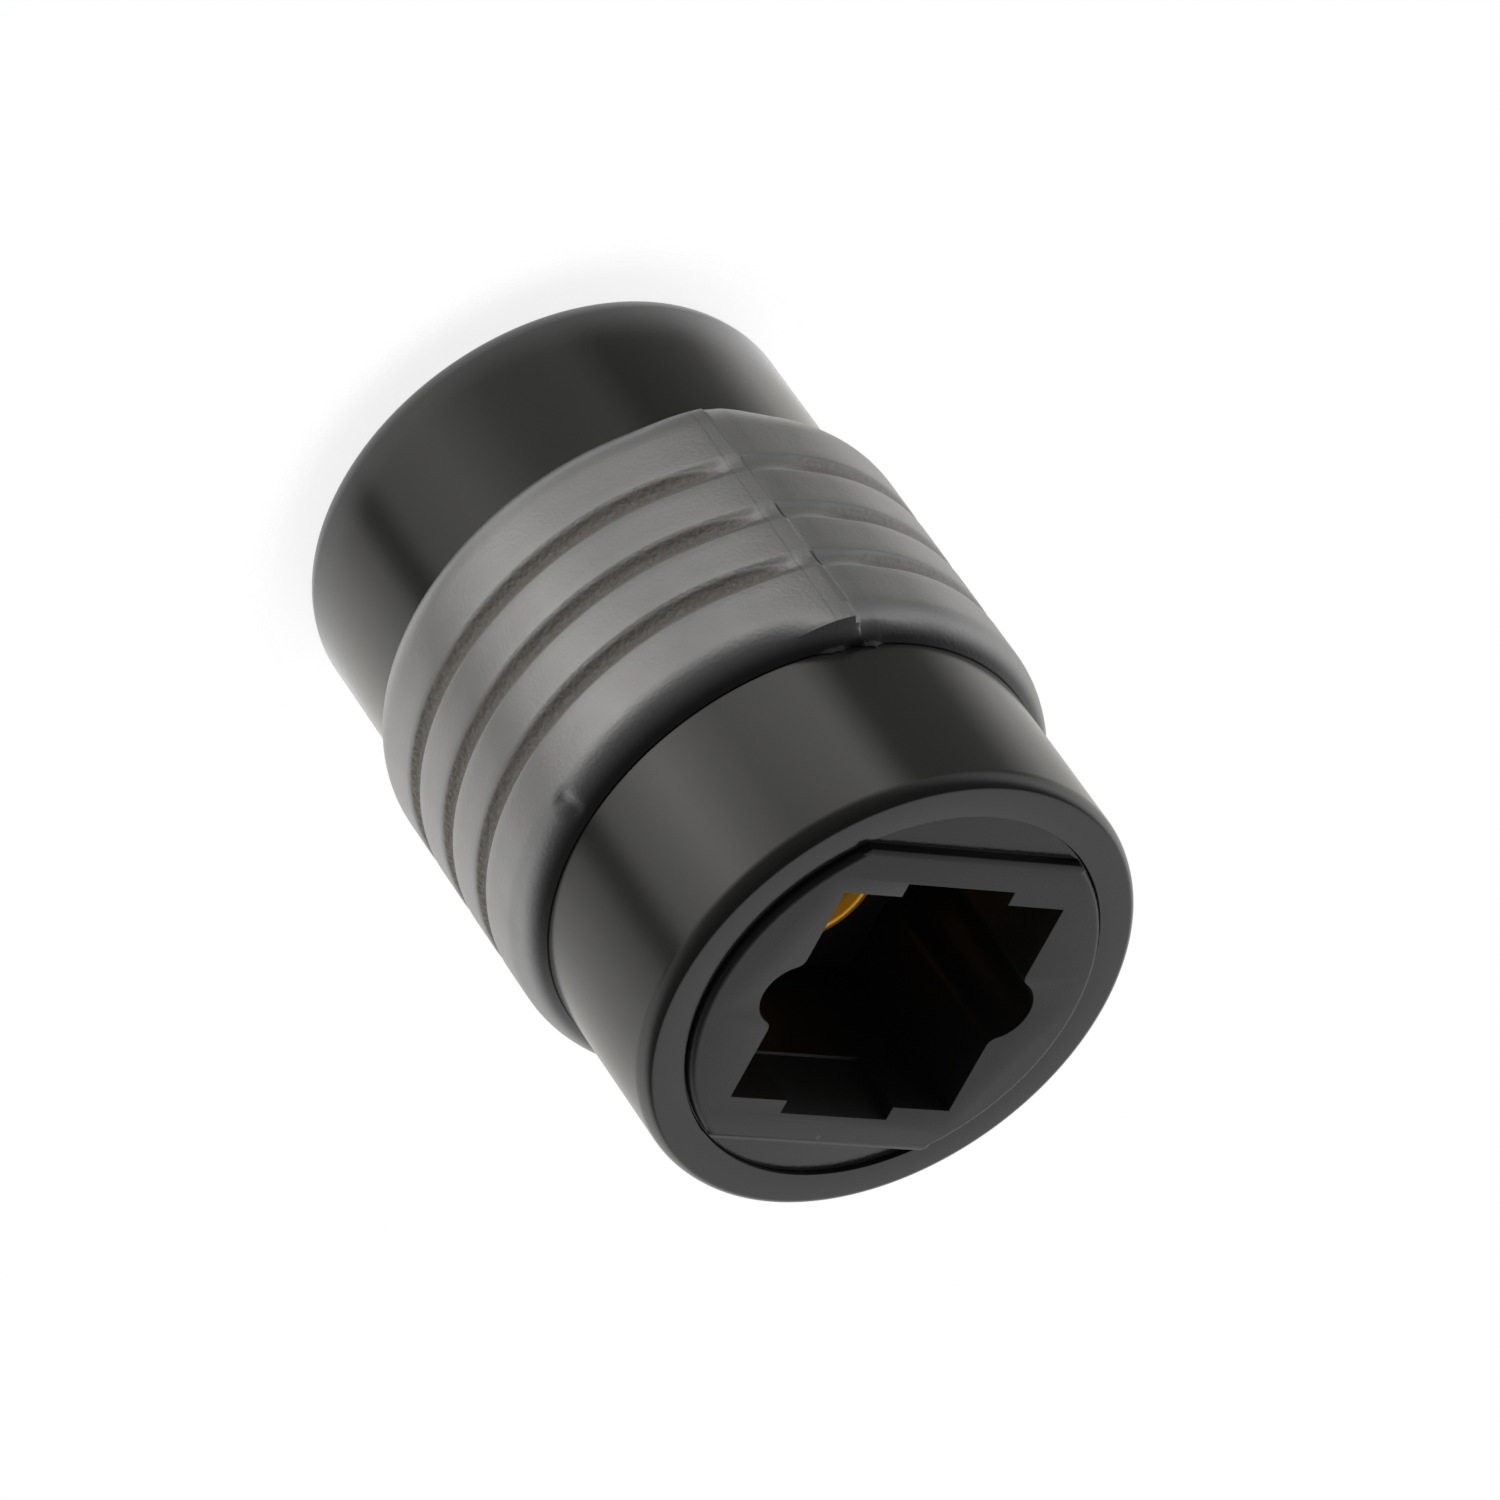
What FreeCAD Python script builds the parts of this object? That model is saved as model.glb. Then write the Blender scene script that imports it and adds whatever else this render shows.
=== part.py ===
"""Optical audio coupler: a barrel that joins two square optical audio plugs end to end.

The coupler stands on its rear socket. Z is the common axis of both sockets, and the origin is the middle of
the rear socket's face. Each sub-part is drawn about its own middle plane, which is placed half way up, or for
the grip a little lower.
"""
import FreeCAD, Part
import math
import os
import Sketcher

# Driving sizes in millimetres, apart from the groove count and the turn of the grip in degrees.
SIZES = (
    ("barrel_diameter", 16.0),
    ("barrel_wall", 1.3),
    ("barrel_length", 23.0),
    ("rim_radius", 0.45),
    ("grip_length", 10.7),
    ("grip_set_back", 0.17),
    ("grip_thickness", 0.72),
    ("shoulder_length", 1.3),
    ("groove_count", 3),
    ("groove_pitch", 2.25),
    ("groove_width", 0.86),
    ("groove_floor", 0.6),
    ("groove_depth", 0.26),
    ("seam_width", 0.5),
    ("seam_height", 0.06),
    ("seam_shoulder", 0.7),
    ("seam_turn", 105),
    ("face_stand_out", 0.25),
    ("face_height", 0.4),
    ("face_gap", 0.08),
    ("flat_set_in", 1.33),
    ("flat_bevel_width", 0.2),
    ("flat_bevel_drop", 0.05),
    ("opening_width", 8.06),
    ("opening_height", 7.6),
    ("opening_depth", 6.5),
    ("notch_width", 3.9),
    ("notch_rise", 0.48),
    ("notch_depth", 2.25),
    ("guide_radius", 1.1),
    ("guide_reach", 0.87),
    ("guide_blend", 0.35),
    ("sleeve_diameter", 4.6),
    ("sleeve_bore", 3.3),
    ("sleeve_stand_out", 1.0),
    ("mouth_chamfer", 0.4),
    ("press_clearance", 0.02),
)

# Lengths that more than one sub-part needs, as expressions of the driving sizes.
BARREL_RADIUS = "Sizes.barrel_diameter / 2"
BORE_RADIUS = f"({BARREL_RADIUS} - Sizes.barrel_wall)"
GRIP_RADIUS = f"({BARREL_RADIUS} + Sizes.grip_thickness)"
HALF_LENGTH = "(Sizes.barrel_length / 2 + Sizes.face_stand_out)"
FLANGE_LEVEL = f"({HALF_LENGTH} - Sizes.face_height)"

# The sketch's own origin and axis, and the points of a line or an arc, as sketch constraints number them.
ORIGIN = (-1, 1)
X_AXIS = -1
START = 1
END = 2
CENTRE = 3

TOLERANCE = 1e-4
UP = FreeCAD.Vector(0, 0, 1)

doc = FreeCAD.newDocument("optical_audio_coupler")


def fill_sheet():
    sheet = doc.addObject("Spreadsheet::Sheet", "Sizes")
    for row, (alias, value) in enumerate(SIZES, start=1):
        sheet.set(f"A{row}", alias)
        sheet.set(f"B{row}", str(value))
        sheet.setAlias(f"B{row}", alias)
    doc.recompute()
    return sheet


sizes = fill_sheet()


def worth(expression):
    """Work out an expression of the sheet's sizes, so that a sketch starts near its solved form."""
    return float(sizes.evalExpression(expression))


def point(x, y):
    return FreeCAD.Vector(x, y, 0)


def new_body(label, level=HALF_LENGTH):
    """Start a sub-part whose middle plane is half way up the coupler, or at a level of its own."""
    body = doc.addObject("PartDesign::Body", label)
    body.Label = label
    body.setExpression("Placement.Base.z", level)
    return body


def new_sketch(body, name, plane, level=None):
    """Start a sketch on one of the body's origin planes, raised to a level where one is given."""
    sketch = body.newObject("Sketcher::SketchObject", name)
    planes = {feature.Role: feature for feature in body.Origin.OriginFeatures}
    sketch.AttachmentSupport = [(planes[plane], "")]
    sketch.MapMode = "FlatFace"
    if level:
        sketch.setExpression("AttachmentOffset.Base.z", level)
    return sketch


def tie(sketch, kind, *where):
    sketch.addConstraint(Sketcher.Constraint(kind, *where))


def drive(sketch, name, expression, kind, *where):
    """Add a dimension to a sketch and bind it to the sheet."""
    index = sketch.addConstraint(Sketcher.Constraint(kind, *where, worth(expression)))
    sketch.renameConstraint(index, name)
    sketch.setExpression(f".Constraints.{name}", expression)


def add_line(sketch, start, end):
    return sketch.addGeometry(Part.LineSegment(point(*start), point(*end)))


def add_arc(sketch, centre, radius, first, last):
    return sketch.addGeometry(Part.ArcOfCircle(Part.Circle(point(*centre), UP, radius), first, last))


def add_outline(sketch, corners):
    """Draw a closed outline of straight sides, each starting where the one before it ends."""
    ends = corners[1:] + corners[:1]
    sides = [add_line(sketch, start, end) for start, end in zip(corners, ends)]
    for side, following in zip(sides, sides[1:] + sides[:1]):
        tie(sketch, "Coincident", side, END, following, START)
    return sides


def add_rectangle(sketch, left, low, right, high):
    """Draw a rectangle from its left side round to its low side, without its dimensions."""
    sides = add_outline(sketch, [(left, low), (left, high), (right, high), (right, low)])
    for level_side in (sides[1], sides[3]):
        tie(sketch, "Horizontal", level_side)
    tie(sketch, "Vertical", sides[2])
    return sides


def draw_centred_rectangle(sketch, width, height):
    half_width = worth(width) / 2
    half_height = worth(height) / 2
    left, high, right, _ = add_rectangle(sketch, -half_width, -half_height, half_width, half_height)
    tie(sketch, "Vertical", left)
    tie(sketch, "Symmetric", left, START, right, START, *ORIGIN)
    drive(sketch, "width", width, "DistanceX", high, START, high, END)
    drive(sketch, "height", height, "DistanceY", left, START, left, END)


def draw_tube_section(sketch, inner, outer, length):
    """Draw the half section of a plain tube, as long above the middle plane as below it."""
    half = worth(length) / 2
    left, _, right, _ = add_rectangle(sketch, worth(inner), -half, worth(outer), half)
    tie(sketch, "Symmetric", left, START, left, END, X_AXIS)
    drive(sketch, "inner", inner, "DistanceX", *ORIGIN, left, START)
    drive(sketch, "outer", outer, "DistanceX", *ORIGIN, right, START)
    drive(sketch, "length", length, "DistanceY", left, START, left, END)


def draw_grip_section(sketch, crest, shoulder_length):
    """Draw the half section of the grip: a straight crest with a round shoulder at each end."""
    inner = f"{BARREL_RADIUS} + Sizes.press_clearance"
    half = worth("Sizes.grip_length") / 2
    shoulder = worth(shoulder_length)
    rise = worth(crest) - worth(inner)
    radius = (rise**2 + shoulder**2) / (2 * rise)
    sweep = math.atan2(shoulder, radius - rise)
    centre_x = worth(crest) - radius
    level = half - shoulder
    seat = add_line(sketch, (worth(inner), -half), (worth(inner), half))
    top = add_line(sketch, (worth(crest), -level), (worth(crest), level))
    front = add_arc(sketch, (centre_x, level), radius, 0, sweep)
    rear = add_arc(sketch, (centre_x, -level), radius, -sweep, 0)
    tie(sketch, "Tangent", front, START, top, END)
    tie(sketch, "Tangent", rear, END, top, START)
    tie(sketch, "Coincident", front, END, seat, END)
    tie(sketch, "Coincident", rear, START, seat, START)
    tie(sketch, "Symmetric", seat, START, seat, END, X_AXIS)
    tie(sketch, "Symmetric", top, START, top, END, X_AXIS)
    drive(sketch, "seat", inner, "DistanceX", *ORIGIN, seat, START)
    drive(sketch, "crest", crest, "DistanceX", *ORIGIN, top, START)
    drive(sketch, "length", "Sizes.grip_length", "DistanceY", seat, START, seat, END)
    drive(sketch, "shoulder", shoulder_length, "DistanceY", top, END, seat, END)


def draw_groove_section(sketch):
    """Draw the tapered section of the lowest groove, up to the crest of the seams."""
    floor = f"{GRIP_RADIUS} - Sizes.groove_depth"
    mouth = f"{GRIP_RADIUS} + Sizes.seam_height"
    level = "-Sizes.groove_pitch * (Sizes.groove_count - 1) / 2"
    floor_half = worth("Sizes.groove_floor") / 2
    mouth_half = worth("Sizes.groove_width") / 2
    corners = [(worth(floor), worth(level) - floor_half), (worth(floor), worth(level) + floor_half),
               (worth(mouth), worth(level) + mouth_half), (worth(mouth), worth(level) - mouth_half)]
    floor_side, front, mouth_side, rear = add_outline(sketch, corners)
    tie(sketch, "Vertical", floor_side)
    tie(sketch, "Vertical", mouth_side)
    tie(sketch, "Equal", front, rear)
    drive(sketch, "floor", floor, "DistanceX", *ORIGIN, floor_side, START)
    drive(sketch, "mouth", mouth, "DistanceX", *ORIGIN, mouth_side, START)
    drive(sketch, "floor_width", "Sizes.groove_floor", "DistanceY", floor_side, START, floor_side, END)
    drive(sketch, "mouth_width", "Sizes.groove_width", "DistanceY", mouth_side, END, mouth_side, START)
    drive(sketch, "level", f"{level} - Sizes.groove_floor / 2", "DistanceY", *ORIGIN, floor_side, START)


def draw_circle(sketch, radius):
    circle = sketch.addGeometry(Part.Circle(point(0, 0), UP, worth(radius)))
    tie(sketch, "Coincident", circle, CENTRE, *ORIGIN)
    drive(sketch, "radius", radius, "Radius", circle)


def draw_guide_circles(sketch):
    """Draw the round guide groove that runs into each side wall of the opening."""
    offset = "Sizes.opening_width / 2 + Sizes.guide_reach - Sizes.guide_radius"
    radius = worth("Sizes.guide_radius")
    left, right = [sketch.addGeometry(Part.Circle(point(side * worth(offset), 0), UP, radius))
                   for side in (-1, 1)]
    tie(sketch, "PointOnObject", right, CENTRE, X_AXIS)
    tie(sketch, "Symmetric", left, CENTRE, right, CENTRE, *ORIGIN)
    tie(sketch, "Equal", left, right)
    drive(sketch, "offset", offset, "DistanceX", *ORIGIN, right, CENTRE)
    drive(sketch, "radius", "Sizes.guide_radius", "Radius", right)


def draw_double_d(sketch, radius, flat):
    """Draw a circle that is cut by a straight chord above and below."""
    reach = math.asin(worth(flat) / worth(radius))
    across = math.sqrt(worth(radius)**2 - worth(flat)**2)
    right = add_arc(sketch, (0, 0), worth(radius), -reach, reach)
    left = add_arc(sketch, (0, 0), worth(radius), math.pi - reach, math.pi + reach)
    high = add_line(sketch, (across, worth(flat)), (-across, worth(flat)))
    low = add_line(sketch, (-across, -worth(flat)), (across, -worth(flat)))
    for arc in (right, left):
        tie(sketch, "Coincident", arc, CENTRE, *ORIGIN)
    tie(sketch, "Coincident", right, END, high, START)
    tie(sketch, "Coincident", high, END, left, START)
    tie(sketch, "Coincident", left, END, low, START)
    tie(sketch, "Coincident", low, END, right, START)
    tie(sketch, "Horizontal", high)
    tie(sketch, "Symmetric", high, START, low, START, *ORIGIN)
    drive(sketch, "radius", radius, "Radius", right)
    drive(sketch, "flat", flat, "DistanceY", *ORIGIN, high, START)


def revolve(body, sketch, name, kind="Revolution"):
    """Turn a section about the axis: a Revolution adds material, a Groove takes it away."""
    feature = body.newObject(f"PartDesign::{kind}", name)
    feature.Profile = sketch
    feature.ReferenceAxis = (sketch, ["V_Axis"])
    feature.Angle = 360
    return feature


def pad(body, sketch, name, length):
    feature = body.newObject("PartDesign::Pad", name)
    feature.Profile = sketch
    feature.setExpression("Length", length)
    return feature


def pocket(body, sketch, name, depth=None):
    """Cut a sketch straight down to a depth, or right through where none is given."""
    feature = body.newObject("PartDesign::Pocket", name)
    feature.Profile = sketch
    if depth:
        feature.setExpression("Length", depth)
    else:
        feature.Type = "ThroughAll"
    return feature


def dress_edges(body, base, kind, name, expression, test):
    """Round or chamfer the edges of a feature that pass a test."""
    doc.recompute()
    names = [f"Edge{i}" for i, edge in enumerate(base.Shape.Edges, start=1) if test(edge)]
    feature = body.newObject(f"PartDesign::{kind}", name)
    feature.Base = (base, names)
    feature.setExpression("Radius" if kind == "Fillet" else "Size", expression)
    return feature


def is_circle_of(radius):
    """Make a test for the circular edges of one radius, round the axis."""
    def test(edge):
        curve = edge.Curve
        return isinstance(curve, Part.Circle) and abs(curve.Radius - worth(radius)) < TOLERANCE
    return test


def build_barrel():
    body = new_body("barrel")
    section = new_sketch(body, "barrel_section", "XZ_Plane")
    draw_tube_section(section, BORE_RADIUS, BARREL_RADIUS, "Sizes.barrel_length")
    tube = revolve(body, section, "barrel_tube")
    dress_edges(body, tube, "Fillet", "barrel_rims", "Sizes.rim_radius", is_circle_of(BARREL_RADIUS))
    return body


def build_grip():
    body = new_body("grip", f"{HALF_LENGTH} - Sizes.grip_set_back")
    body.Placement.Rotation = FreeCAD.Rotation(UP, 0)
    body.setExpression("Placement.Rotation.Angle", "Sizes.seam_turn")
    section = new_sketch(body, "grip_section", "XZ_Plane")
    draw_grip_section(section, GRIP_RADIUS, "Sizes.shoulder_length")
    revolve(body, section, "grip_ring")

    seam_section = new_sketch(body, "seam_section", "XZ_Plane")
    draw_grip_section(seam_section, f"{GRIP_RADIUS} + Sizes.seam_height", "Sizes.seam_shoulder")
    seam = revolve(body, seam_section, "seam")
    seam.Midplane = True
    seam.setExpression("Angle", f"Sizes.seam_width / {GRIP_RADIUS} * 180 / pi")
    seams = body.newObject("PartDesign::PolarPattern", "both_seams")
    seams.Originals = [seam]
    seams.Axis = (seam_section, ["V_Axis"])
    seams.Angle = 360
    seams.Occurrences = 2
    body.Tip = seams

    groove_section = new_sketch(body, "groove_section", "XZ_Plane")
    draw_groove_section(groove_section)
    groove = revolve(body, groove_section, "groove", "Groove")
    grooves = body.newObject("PartDesign::LinearPattern", "grooves")
    grooves.Originals = [groove]
    grooves.Direction = (groove_section, ["V_Axis"])
    grooves.setExpression("Length", "Sizes.groove_pitch * (Sizes.groove_count - 1)")
    grooves.setExpression("Occurrences", "Sizes.groove_count")
    body.Tip = grooves
    return body


def build_socket(label):
    """Build one socket from its inner end, at the middle plane, up to its raised face."""
    body = new_body(label)
    plug_sketch = new_sketch(body, f"{label}_plug_outline", "XY_Plane")
    draw_circle(plug_sketch, f"{BORE_RADIUS} - Sizes.press_clearance")
    pad(body, plug_sketch, f"{label}_plug", FLANGE_LEVEL)

    face_sketch = new_sketch(body, f"{label}_face_outline", "XY_Plane", FLANGE_LEVEL)
    draw_double_d(face_sketch, f"{BORE_RADIUS} - Sizes.face_gap", f"{BORE_RADIUS} - Sizes.flat_set_in")
    face = pad(body, face_sketch, f"{label}_face", "Sizes.face_height")

    def is_top_of_flat(edge):
        """Is this the upper edge of one of the flats?"""
        at_top = all(abs(v.Z - worth(HALF_LENGTH)) < TOLERANCE for v in edge.Vertexes)
        return at_top and isinstance(edge.Curve, Part.Line)

    bevel = dress_edges(body, face, "Chamfer", f"{label}_flat_edges", "Sizes.flat_bevel_drop", is_top_of_flat)
    bevel.ChamferType = "Two distances"
    bevel.setExpression("Size2", "Sizes.flat_bevel_width")

    opening_sketch = new_sketch(body, f"{label}_opening_outline", "XY_Plane", HALF_LENGTH)
    draw_centred_rectangle(opening_sketch, "Sizes.opening_width", "Sizes.opening_height")
    pocket(body, opening_sketch, f"{label}_opening", "Sizes.opening_depth")

    guide_sketch = new_sketch(body, f"{label}_guide_outline", "XY_Plane", HALF_LENGTH)
    draw_guide_circles(guide_sketch)
    guides = pocket(body, guide_sketch, f"{label}_guides", "Sizes.opening_depth")

    def is_guide_lip(edge):
        """Is this one of the corners where a guide groove leaves the opening's side wall?"""
        middle = edge.CenterOfMass
        upright = edge.BoundBox.XLength < TOLERANCE and edge.BoundBox.YLength < TOLERANCE
        on_wall = abs(abs(middle.x) - worth("Sizes.opening_width") / 2) < TOLERANCE
        return upright and on_wall and abs(middle.y) < worth("Sizes.guide_radius") + TOLERANCE

    dress_edges(body, guides, "Fillet", f"{label}_guide_lips", "Sizes.guide_blend", is_guide_lip)

    notch_sketch = new_sketch(body, f"{label}_notch_outline", "XY_Plane", HALF_LENGTH)
    draw_centred_rectangle(notch_sketch, "Sizes.notch_width", "Sizes.opening_height + 2 * Sizes.notch_rise")
    pocket(body, notch_sketch, f"{label}_notches", "Sizes.notch_depth")

    seat_sketch = new_sketch(body, f"{label}_sleeve_seat_outline", "XY_Plane", HALF_LENGTH)
    draw_circle(seat_sketch, "Sizes.sleeve_diameter / 2 + Sizes.press_clearance")
    pocket(body, seat_sketch, f"{label}_sleeve_seat")
    return body


def build_rear_socket():
    """Turn a second socket over, so that it faces down from the same middle plane."""
    body = build_socket("rear_socket")
    body.Placement.Rotation = FreeCAD.Rotation(FreeCAD.Vector(0, 1, 0), 180)
    return body


def build_ferrule_sleeve():
    body = new_body("ferrule_sleeve")
    section = new_sketch(body, "sleeve_section", "XZ_Plane")
    bore_radius = "Sizes.sleeve_bore / 2"
    length = f"2 * ({HALF_LENGTH} - Sizes.opening_depth + Sizes.sleeve_stand_out)"
    draw_tube_section(section, bore_radius, "Sizes.sleeve_diameter / 2", length)
    tube = revolve(body, section, "sleeve_tube")
    dress_edges(body, tube, "Chamfer", "sleeve_mouths", "Sizes.mouth_chamfer", is_circle_of(bore_radius))
    return body


def check_document(bodies):
    """Stop if any object failed or any sub-part is not one sound solid."""
    for item in doc.Objects:
        if "Invalid" in item.State or "Error" in item.State:
            raise RuntimeError(f"{item.Label} did not build: {item.State}")
    for body in bodies:
        shape = body.Shape
        if shape.isNull() or not shape.isValid() or len(shape.Solids) != 1:
            raise RuntimeError(f"{body.Label} is not one sound solid")


def write_parts(bodies):
    os.makedirs("parts", exist_ok=True)
    for body in bodies:
        body.Shape.exportStep(os.path.join("parts", f"{body.Label}.step"))
        print(f"{body.Label}: {body.Shape.Volume:.2f} cubic mm")


sub_parts = [
    build_barrel(),
    build_grip(),
    build_socket("front_socket"),
    build_rear_socket(),
    build_ferrule_sleeve(),
]
doc.recompute()
check_document(sub_parts)
write_parts(sub_parts)
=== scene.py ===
"""The optical audio coupler as a studio picture: it stands on its rear socket on a white table.

Every piece is modelled again with the rounds and marks that its mould or lathe leaves, and replaces the
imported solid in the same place.
"""

import math

import bmesh
import bpy
from mathutils import Matrix, Vector


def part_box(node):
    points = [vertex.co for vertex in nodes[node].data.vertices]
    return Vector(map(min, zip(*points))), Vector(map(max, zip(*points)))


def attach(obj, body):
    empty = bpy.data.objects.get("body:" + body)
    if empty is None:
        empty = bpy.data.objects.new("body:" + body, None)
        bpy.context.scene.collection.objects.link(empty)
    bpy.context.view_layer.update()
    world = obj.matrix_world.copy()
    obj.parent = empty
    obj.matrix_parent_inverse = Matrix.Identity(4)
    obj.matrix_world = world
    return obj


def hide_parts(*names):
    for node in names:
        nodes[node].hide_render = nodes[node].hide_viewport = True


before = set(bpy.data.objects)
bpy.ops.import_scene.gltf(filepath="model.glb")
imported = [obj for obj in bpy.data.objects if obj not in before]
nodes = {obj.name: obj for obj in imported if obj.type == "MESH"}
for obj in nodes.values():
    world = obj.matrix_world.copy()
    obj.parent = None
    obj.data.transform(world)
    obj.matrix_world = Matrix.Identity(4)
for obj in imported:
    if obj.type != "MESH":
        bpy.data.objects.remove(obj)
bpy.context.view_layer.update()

MM = 0.001
BODY = "root"

# The photograph's camera, from a fit of the coupler's outline: which way it lies, and how it is turned.
TO_CAMERA = Vector((-0.6110, 0.4635, 0.6418)).normalized()
PICTURE_UP = Vector((-0.0691, 0.7764, -0.6265))
CAMERA_DISTANCE = 344.7 * MM
AIM_HEIGHT = 11.93 * MM
LENS = 281.35
SENSOR = 36.0
SHIFT = (0.0202, 0.0009)

# Sizes of the coupler, as in its CAD source.
barrel_low, barrel_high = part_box("barrel")
grip_low, grip_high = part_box("grip")
MIDDLE = (grip_low.z + grip_high.z) / 2
BARREL_RADIUS = (barrel_high.x - barrel_low.x) / 2
GRIP_HALF = (grip_high.z - grip_low.z) / 2
GRIP_RADIUS = BARREL_RADIUS + 0.72 * MM
BORE_RADIUS = BARREL_RADIUS - 1.3 * MM
SHOULDER = 1.3 * MM
GROOVE_PITCH = 2.25 * MM
GROOVE_LEVELS = (-GROOVE_PITCH, 0.0, GROOVE_PITCH)
SEAM_ANGLES = (math.radians(105), math.radians(285))
FACE_RADIUS = 6.3 * MM
FLAT_REACH = 5.36 * MM
FACE_LEVEL = 11.74 * MM
NOTCH_REACH = 4.28 * MM
NOTCH_HALF = 2.0 * MM
NOTCH_ENDS = (2.25 * MM, 21.25 * MM)
SEAT_GAP = 0.01 * MM
CLOSE = 1e-7
MERGE = 1e-6

# Marks of the moulds, which are too small for the CAD source. Turns round the axis are in degrees. The rim's
# curve is given by how far in from the barrel's side and how far below its end it runs, in millimetres.
SPIN_STEPS = 320
RIM_CURVE = ((0, 0.6), (0.005, 0.52), (0.024, 0.42), (0.05, 0.33), (0.08, 0.245), (0.115, 0.17),
             (0.155, 0.105), (0.2, 0.055), (0.25, 0.022), (0.3, 0.006), (0.35, 0))
GROOVE_HALF = 0.46 * MM
GROOVE_DEPTH = 0.18 * MM
GROOVE_BOTTOM = (0.0 * MM, 0.14 * MM)
GROOVE_STEPS = 10
SHOULDER_STEPS = 12
CREST_STEPS = 4
LIP = 0.04 * MM
INNER_ROUND = 0.025 * MM
EDGE_ROUND = 0.06 * MM
FACE_ROUND = 0.2 * MM
MOUTH_ROUND = 0.1 * MM
RAMP_RISE = 0.38 * MM
STRIP_RIGHT = (0.1 * MM, -0.12 * MM)
STRIP_LEFT = (0.45 * MM, 0.6 * MM)
SLIT_WIDTH = 0.06 * MM
LEFT_FILL, LEFT_TURN, LEFT_RUN = 0.45, 20, 17
RIGHT_FILL, RIGHT_TURN, RIGHT_RUN = 0.55, 16, 8
STRIP_FILL = 0.75
SLIT_FILL = -0.4
RIDGE_HEIGHT = 0.17 * MM
RIDGE_TURN = 16
WEDGE_LENGTH = 0.36 * MM
WEDGE_TURN = 17
WEDGE_TOP = 2
WEDGE_AT_REAR = 0.4
WEDGE_ON_RIGHT = 0.35
SEAM_TURN = WEDGE_TURN + 3
FLASH_LENGTH = 0.16 * MM
FLASH_TONGUES = ((-4, 3.5), (5, 5))
DENT_ANGLE = math.radians(174)
DENT_DEPTH = 0.1 * MM
DENT_TURN = 0.8
DENT_SPAN = (0.35, 0.8)
DENT_REACH = 0.3 * MM

# Where finishes, painted rim sheen and painted brass glow change, by distance from the coupler's middle along
# its axis.
COUPLER_MIDDLE = 11.75 * MM
RIM_FROM_SIDE = (11.0 * MM, 11.2 * MM)
RIM_FROM_END = (11.499 * MM, 11.44 * MM)
MOUTH_GLOW = (5.8 * MM, 6.1 * MM)

# The studio: a small round tent, with an opening towards the photograph's side, a window behind and two rows
# of panels, by their angle round the axis from the photograph's side and their brightness; and the table.
ASIDE = math.atan2(TO_CAMERA.y, TO_CAMERA.x)
TENT_RADIUS = 60.0 * MM
OPENING = Vector((math.cos(ASIDE), math.sin(ASIDE), math.tan(math.radians(65)))).normalized()
OPENING_DARK = 62
OPENING_EDGE = 97
OPENING_LEVEL = 0.06
WINDOW = Vector((-math.cos(ASIDE), -math.sin(ASIDE), math.tan(math.radians(48)))).normalized()
WINDOW_FULL = 24
WINDOW_EDGE = 44
WINDOW_LEVEL = 0.68
HIGH_PANELS = ((-180, 0.8), (-122, 0.76), (-104, 0.37), (-96, 0.18), (-57, 0.2), (-42, 1.1), (-22, 0.97),
               (-7, 0.88), (9, 1.25), (22, 1.6), (37, 1.08), (50, 0.78), (59, 0.16), (65, 0.16), (74, 0.52),
               (93, 0.72), (121, 0.78), (180, 0.8))
LOW_PANELS = ((-180, 0.9), (-122, 0.9), (-104, 0.46), (-96, 0.26), (-74, 0.18), (-57, 0.14), (-42, 0.36),
              (-22, 0.32), (-7, 0.34), (9, 0.56), (22, 0.72), (37, 0.62), (50, 0.52), (59, 0.1), (65, 0.12),
              (74, 0.58), (93, 0.86), (121, 1.0), (180, 0.9))
CLOTH_TINT = (1.0, 0.99, 0.95)
LOW_ROW = -0.64
HIGH_ROW = -0.51
CLOTH_TOP = (-0.3, 0.1)
TABLE_FULL = 8.2 * MM
TABLE_EDGE = 10.0 * MM
TABLE_GLOW = 0.8
TABLE_GAP = 0.02 * MM


def linear(code):
    """Turn an sRGB hex colour into the linear colour that a shader takes."""
    channels = [int(code[i:i + 2], 16) / 255 for i in (1, 3, 5)]
    return [c / 12.92 if c <= 0.04045 else ((c + 0.055) / 1.055)**2.4 for c in channels] + [1.0]


def add_node(tree, kind, inputs=None, **settings):
    """Add a node with its settings, and set each input to a value or link it to another node's output."""
    node = tree.nodes.new(kind)
    for name, value in settings.items():
        setattr(node, name, value)
    for name, value in (inputs or {}).items():
        if isinstance(value, bpy.types.NodeSocket):
            tree.links.new(value, node.inputs[name])
        else:
            node.inputs[name].default_value = value
    return node


def start_material(name):
    """Start an empty material, and give its node tree and the piece's own coordinates."""
    material = bpy.data.materials.new(name)
    material.use_nodes = True
    tree = material.node_tree
    tree.nodes.clear()
    return material, tree, add_node(tree, "ShaderNodeTexCoord").outputs["Object"]


def show_surface(tree, shader):
    """Make a shader the surface of its material."""
    add_node(tree, "ShaderNodeOutputMaterial", {"Surface": shader})


def per(size):
    """The scale of a pattern whose features repeat at a size in metres."""
    return 1 / size


def dust_specks(tree, place, spacing, size):
    """Scattered dust: a share of 1 inside small specks that lie about a spacing apart, and 0 between them."""
    cells = add_node(tree, "ShaderNodeTexVoronoi", {"Vector": place, "Scale": per(spacing)})
    return add_node(tree, "ShaderNodeMapRange", {
        "Value": cells.outputs["Distance"], "From Min": size / spacing, "From Max": size / spacing / 2,
        "To Max": 0.4}).outputs["Result"]


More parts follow.
